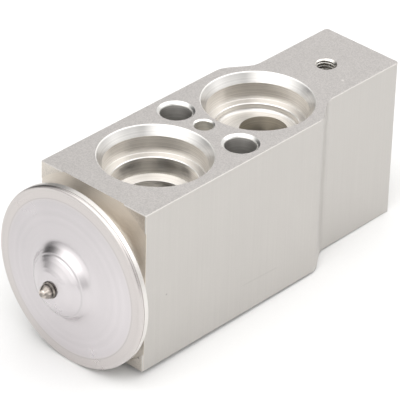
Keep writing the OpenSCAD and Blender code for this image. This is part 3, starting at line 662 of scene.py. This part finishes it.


# Painted light and shade: the ports' walls are painted brighter than their cones and their ledges
# darkest, and the bolt holes' walls are painted dark, as shade inside the through holes
LIT_WALL_COLOUR, SHADED_CONE_COLOUR = (0.86, 0.834, 0.798), (0.735, 0.722, 0.705)
SHADED_LEDGE_COLOUR, SHADED_BOLT_COLOUR = (0.63, 0.608, 0.58), (0.62, 0.61, 0.595)
block_finishes = {
    FLANK: extruded("extruded_aluminium"),
    FACE: milled("milled_faces", (1, 0.08, 1), (0.60, 0.575, 0.56)),
    END: milled("milled_ends", (1, 1, 0.08), (0.62, 0.58, 0.53)),
    AXIAL: turned_metal("bored_along", *ALONG, (0.68, 0.632, 0.568), 0.4, 0.3, 0.0012, 0.02),
    SUCTION_WALL: turned_metal("suction_walls", *SUCTION, LIT_WALL_COLOUR),
    LIQUID_WALL: turned_metal("liquid_walls", *LIQUID, LIT_WALL_COLOUR),
    BOLT_NEAR: turned_metal("bolt_near_drilled", (0, -BOLT_Y, 0), UP, SHADED_BOLT_COLOUR, 0.34),
    BOLT_FAR: turned_metal("bolt_far_drilled", (0, BOLT_Y, 0), UP, SHADED_BOLT_COLOUR, 0.34),
    LOCATING: turned_metal("locating_drilled", (0, LOCATING_Y, 0), UP, (0.89, 0.87, 0.83), 0.42),
    STUD: turned_metal("stud_tapped", (STUD_X, 0, 0), UP, (0.72, 0.70, 0.66), 0.25),
    INLET: turned_metal("inlet_drilled", (INLET_X, 0, 0), UP, (0.60, 0.565, 0.50), 0.42),
    # Painted highlights: the ports' edge breaks and the countersunk mouths are painted lighter than
    # the faces
    DEBURRED: Finish("edge_breaks_painted_highlight", (0.90, 0.89, 0.87), 0.6).material,
    COUNTERSUNK: Finish("countersinks_painted_highlight", (0.80, 0.79, 0.77), 0.3).material,
    SUCTION_CONE: turned_metal("suction_cones", *SUCTION, SHADED_CONE_COLOUR),
    LIQUID_CONE: turned_metal("liquid_cones", *LIQUID, SHADED_CONE_COLOUR),
    SUCTION_LEDGE: turned_metal("suction_floors", *SUCTION, SHADED_LEDGE_COLOUR, 0.38),
    LIQUID_LEDGE: turned_metal("liquid_floors", *LIQUID, SHADED_LEDGE_COLOUR, 0.38)}
for kind in sorted(block_finishes):
    body.data.materials.append(block_finishes[kind])
body.data.polygons.foreach_set("material_index", zones(body.data))
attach(body, "block")
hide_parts("valve_body")

# ---------------------------------------------------------------- Power head
# Profiles are rows of radius, height over the block's end, and bend.


def quarter(centre, r, towards):
    """A quarter of a circle in a profile, from pointing outwards to pointing up or down."""
    turn = np.radians(np.linspace(0, 90, 10))[:, None]
    return centre + r * np.hstack([np.cos(turn), towards * np.sin(turn)])


def head_cover():
    """The pressed cover: its outer line from the rim over the boss, the sheet's inner line, a
    rounded lip and the edge that is welded to the housing."""
    front = supported(rounded([
        [HEAD_R, COVER_TOP, 0], [FLAT_R, COVER_TOP, 3],                         # rim
        [10.9, 8.2, 2.5], [9.25, 8.6, 3], [7.8, 10.55, 0.6],                    # foot and wall
        [7.4, 10.75, 0.12], [7.08, 11.1, 0.35],                                 # ledge
        [6.3, 11.68, 3], [5.0, 12.42, 3], [4.05, 12.84, 1.2], [2.6, 13.06, 2],  # dome
        [FILLING_R, BOSS_TOP, 0]], 12))
    back = supported(rounded([
        [HEAD_R, COVER_UNDER, 0], [FLAT_R, COVER_UNDER, 3],
        [10.5, 7.45, 3], [8.33, 8.1, 0.5], [7.08, 10.08, 0.5],
        [5.7, 11.08, 2], [4.0, 12.0, 2], [2.5, BOSS_TOP - COVER_T, 1],
        [FILLING_R, BOSS_TOP - COVER_T, 0]], 6))
    lip = quarter([HEAD_R - EDGE_R, COVER_TOP - EDGE_R], EDGE_R, 1)
    weld = quarter([HEAD_R - WELD_R, COVER_UNDER + WELD_R], WELD_R, -1)
    front = front[front[:, 0] < HEAD_R - EDGE_R - 0.02]
    back = back[back[:, 0] < HEAD_R - WELD_R - 0.02]
    profile = np.vstack([lip, front, back[::-1], weld[::-1]])
    return piece("power_head_cover", turned(profile, *HEAD_OUT, 192), closed_rows=True)


def head_housing():
    """The housing under the cover: flange, dish, seat on the block, and the neck with its end
    chamfer."""
    profile = rounded([
        [HEAD_R, FLANGE_GAP, 0.3], [HEAD_R, FLANGE_TOP, 0.08], [LIP_R, FLANGE_TOP, 0.6],
        [HUB_R - 0.6, DISH_FLOOR, 1], [NECK_BORE_R, DISH_FLOOR, 0.4], [NECK_BORE_R, NECK_END, 0],
        [NECK_R - NECK_CHAMFER, NECK_END, 0], [NECK_R, NECK_END + NECK_CHAMFER, 0],
        [NECK_R, HUB_SEAT, 0], [HUB_R, HUB_SEAT, 0], [HUB_R, 0.2, 0.3],
        [LIP_R + 0.5, FLANGE_GAP, 1]], 8, closed=True)
    points = turned(supported(profile, closed=True), *HEAD_OUT, 176)
    return piece("power_head_housing", points, closed_rows=True)


def charge_plug():
    """The plug that closes the filling hole: a stem in the hole, a collar on the boss, a short
    body and a blunt tip."""
    top, low = BOSS_TOP + PLUG_LENGTH, BOSS_TOP - 1.2
    profile = rounded([
        [0, top, 0], [0.8, top, 0.6], [PLUG_R, top - 1.25, 0.35], [PLUG_R, BOSS_TOP + 0.5, 0.1],
        [PLUG_COLLAR_R - 0.15, BOSS_TOP + 0.4, 0.1], [PLUG_COLLAR_R, BOSS_TOP + 0.25, 0.1],
        [PLUG_COLLAR_R, BOSS_TOP, 0], [PLUG_STEM_R, BOSS_TOP, 0], [PLUG_STEM_R, low, 0.2],
        [0, low, 0]], 6)
    return piece("filling_plug", turned(profile, *HEAD_OUT, 96))


for made, node, finish in [
        (head_cover(), "head_cover", welded_sheet("cover_stainless")),
        (head_housing(), "head_housing",
         pressed_steel("housing_stainless", (0.74, 0.715, 0.69), 0.28)),
        (charge_plug(), "charge_plug", plug_steel("plug_steel"))]:
    made.data.materials.append(finish)
    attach(made, "block")
    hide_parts(node)

# ---------------------------------------------------------------- Inner pieces


def spring_coil():
    """The valve spring: a ring of wire points carried along a helix.

    The helix climbs by one wire in each end turn and evenly between them. Points that would stand
    past either end are set back to it, as grinding leaves them."""
    length = SPRING_END - SPRING_START
    t = np.linspace(0, SPRING_TURNS, int(SPRING_TURNS * 48) + 1)[:, None]
    k = np.linspace(0, 2 * np.pi, 20, endpoint=False)[None, :]
    climb = np.interp(t, [0, 1, SPRING_TURNS - 1, SPRING_TURNS],
                      [0, SPRING_WIRE, length - SPRING_WIRE, length])
    r = SPRING_MEAN_R + SPRING_WIRE / 2 * np.cos(k)
    x = SPRING_START + np.clip(climb + SPRING_WIRE / 2 * np.sin(k), 0, length)
    angle = 2 * np.pi * t
    points = np.stack([x, r * np.sin(angle), AXIS_Z - r * np.cos(angle)], -1)
    return piece("spring_coil", points, caps=True)


coil = spring_coil()
coil.data.materials.append(pressed_steel("spring_wire", (0.52, 0.51, 0.51), 0.28))
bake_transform(coil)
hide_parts("valve_spring")

# The others keep their solids
for node, finish in {
        "diaphragm": pressed_steel("diaphragm_foil", (0.72, 0.71, 0.70), 0.15),
        "diaphragm_pad": turned_metal("pad_brass", *ALONG, (0.78, 0.62, 0.34), 0.25),
        "sensing_rod": turned_metal("rod_aluminium_turned", *ALONG, (0.80, 0.79, 0.76), 0.2),
        "push_pin": turned_metal("pin_ground", *ALONG, (0.70, 0.69, 0.68), 0.12),
        "valve_seat": turned_metal("seat_hardened", *ALONG, (0.62, 0.60, 0.57), 0.18),
        "valve_ball": turned_metal("ball_lapped", *ALONG, (0.80, 0.80, 0.81), 0.05, 0.1, 0.0006),
        "ball_holder": turned_metal("holder_turned", *ALONG, (0.66, 0.65, 0.62), 0.25),
        "damping_spring": pressed_steel("damper_spring_steel", (0.62, 0.61, 0.60), 0.2),
        "rod_seal_retainer": pressed_steel("retainer_spring_steel", (0.66, 0.65, 0.64), 0.2),
        "adjusting_screw": turned_metal("screw_turned", *ALONG, (0.74, 0.70, 0.60), 0.26),
        "head_seal": rubber("head_seal_rubber"),
        "rod_seal": rubber("rod_seal_rubber"),
        "adjuster_seal": rubber("adjuster_seal_rubber")}.items():
    nodes[node].data.materials.clear()
    nodes[node].data.materials.append(finish)

# ---------------------------------------------------------------- Floor, light and camera

scene = bpy.context.scene
scene.view_settings.view_transform = "Standard"

# The floor touches the head's rim and the block's far lower edge: less than one degree of slope
RIM_X, RIM_Z, FLOOR_HALF = -43, -1.5, 2000
slope = -RIM_Z / (NOSE_END - RIM_X)
floor_points = np.array([[[x, y, RIM_Z + (x - RIM_X) * slope] for y in (-FLOOR_HALF, FLOOR_HALF)]
                         for x in (-FLOOR_HALF, FLOOR_HALF)])
floor = piece("floor", floor_points, closed_columns=False)
paper = Finish("pale_paper", (0.75, 0.75, 0.75), 0.6, metallic=0.0)
paper.shade(paper.noise(paper.moved(), 0.6, 2), 0.99, 1.01)
# Painted falloff of light: the paper darkens away from the object
paper.shade(paper.ramp(paper.radius((0, 0, 0), UP), 0.12, 0.5), 1, 0.8)
floor.data.materials.append(paper.material)

world = bpy.data.worlds.new("studio")
scene.world = world
world.use_nodes = True
sky = world.node_tree
direction = add_node(sky, "ShaderNodeTexCoord").outputs["Generated"]


def patch(azimuth, elevation, width, height, strength, soft=0.5):
    """The factor of an oval patch of the surroundings, with angles in degrees.

    Directions are turned and scaled so that the patch becomes a ball of radius 1. Their distance
    from its middle fades the factor from the patch's strength to 1."""
    a, e = np.radians([azimuth, elevation])
    fit = add_node(sky, "ShaderNodeMapping", {
        "Vector": direction,
        "Location": (np.cos(a) * np.cos(e), np.sin(a) * np.cos(e), np.sin(e)),
        "Rotation": (0, 0, a),
        "Scale": (1, np.sin(np.radians(width)), np.sin(np.radians(height)))}, vector_type="TEXTURE")
    away = add_node(sky, "ShaderNodeVectorMath", {0: fit.outputs[0]}, operation="LENGTH")
    return smooth_step(sky, away.outputs["Value"], 1 - soft, 1 + soft, strength, 1.0)


# Dark and bright patches that the metal mirrors, and light that grows from the horizon upwards
up_share = add_node(sky, "ShaderNodeVectorMath", {0: direction, 1: UP},
                    operation="DOT_PRODUCT").outputs["Value"]
factors = [patch(75, 14, 31, 20, 0.08),
           patch(98, 36, 14, 16, 0.35, 0.8),
           patch(114, 3, 18, 11, 0.35, 0.8),
           patch(-114, 25, 10, 34, 0.75, 0.8),
           patch(-109, 12, 4, 34, 0.3, 0.8),
           patch(-175, 32, 44, 34, 1.75),
           patch(-42, 34, 20, 20, 1.9),
           smooth_step(sky, up_share, 0.35, 0.95, 0.87, 1.54)]
surroundings = factors[0]
for factor in factors[1:]:
    surroundings = add_node(sky, "ShaderNodeMath", {0: surroundings, 1: factor},
                            operation="MULTIPLY").outputs[0]
background = sky.nodes["Background"]
sky.links.new(surroundings, background.inputs["Strength"])
background.inputs["Color"].default_value = (1, 0.995, 0.985, 1)


def stood(name, data, place, right, back):
    """Puts a lamp or camera at a place in metres. It looks against back, and right is its own X."""
    made = bpy.data.objects.new(name, data)
    columns = np.column_stack([right, np.cross(back, right), back, place])
    made.matrix_world = Matrix(np.vstack([columns, [0, 0, 0, 1]]).tolist())
    scene.collection.objects.link(made)
    return made


def unit(vector):
    return np.asarray(vector) / np.linalg.norm(vector)


# A square softbox above the head's end, aimed at the block's middle
softbox = bpy.data.lights.new("key", "AREA")
softbox.shape, softbox.size, softbox.energy = "SQUARE", 0.9, 3
place, aim = np.array([-0.5, -0.4, 1.1]), np.array([0, 0, 0.02])
back = unit(place - aim)
key = stood("key", softbox, place, unit(np.cross([0, 1, 0.01], back)), back)
key.visible_glossy = False

# The camera is the one fitted to the photograph's edges and rims
azimuth, elevation, roll = np.radians([-47.915, 32.441, 1.887])
back = np.array([np.sin(azimuth) * np.cos(elevation), -np.cos(azimuth) * np.cos(elevation),
                 np.sin(elevation)])
level = unit(np.cross(UP, back))
right = np.cos(roll) * level + np.sin(roll) * np.cross(back, level)
lens = bpy.data.cameras.new("camera")
lens.lens, lens.sensor_width, lens.clip_start, lens.clip_end = 298.25, 36, 0.05, 20
scene.camera = stood("camera", lens, np.array([-473.10, -425.54, 425.96]) * MM, right, back)
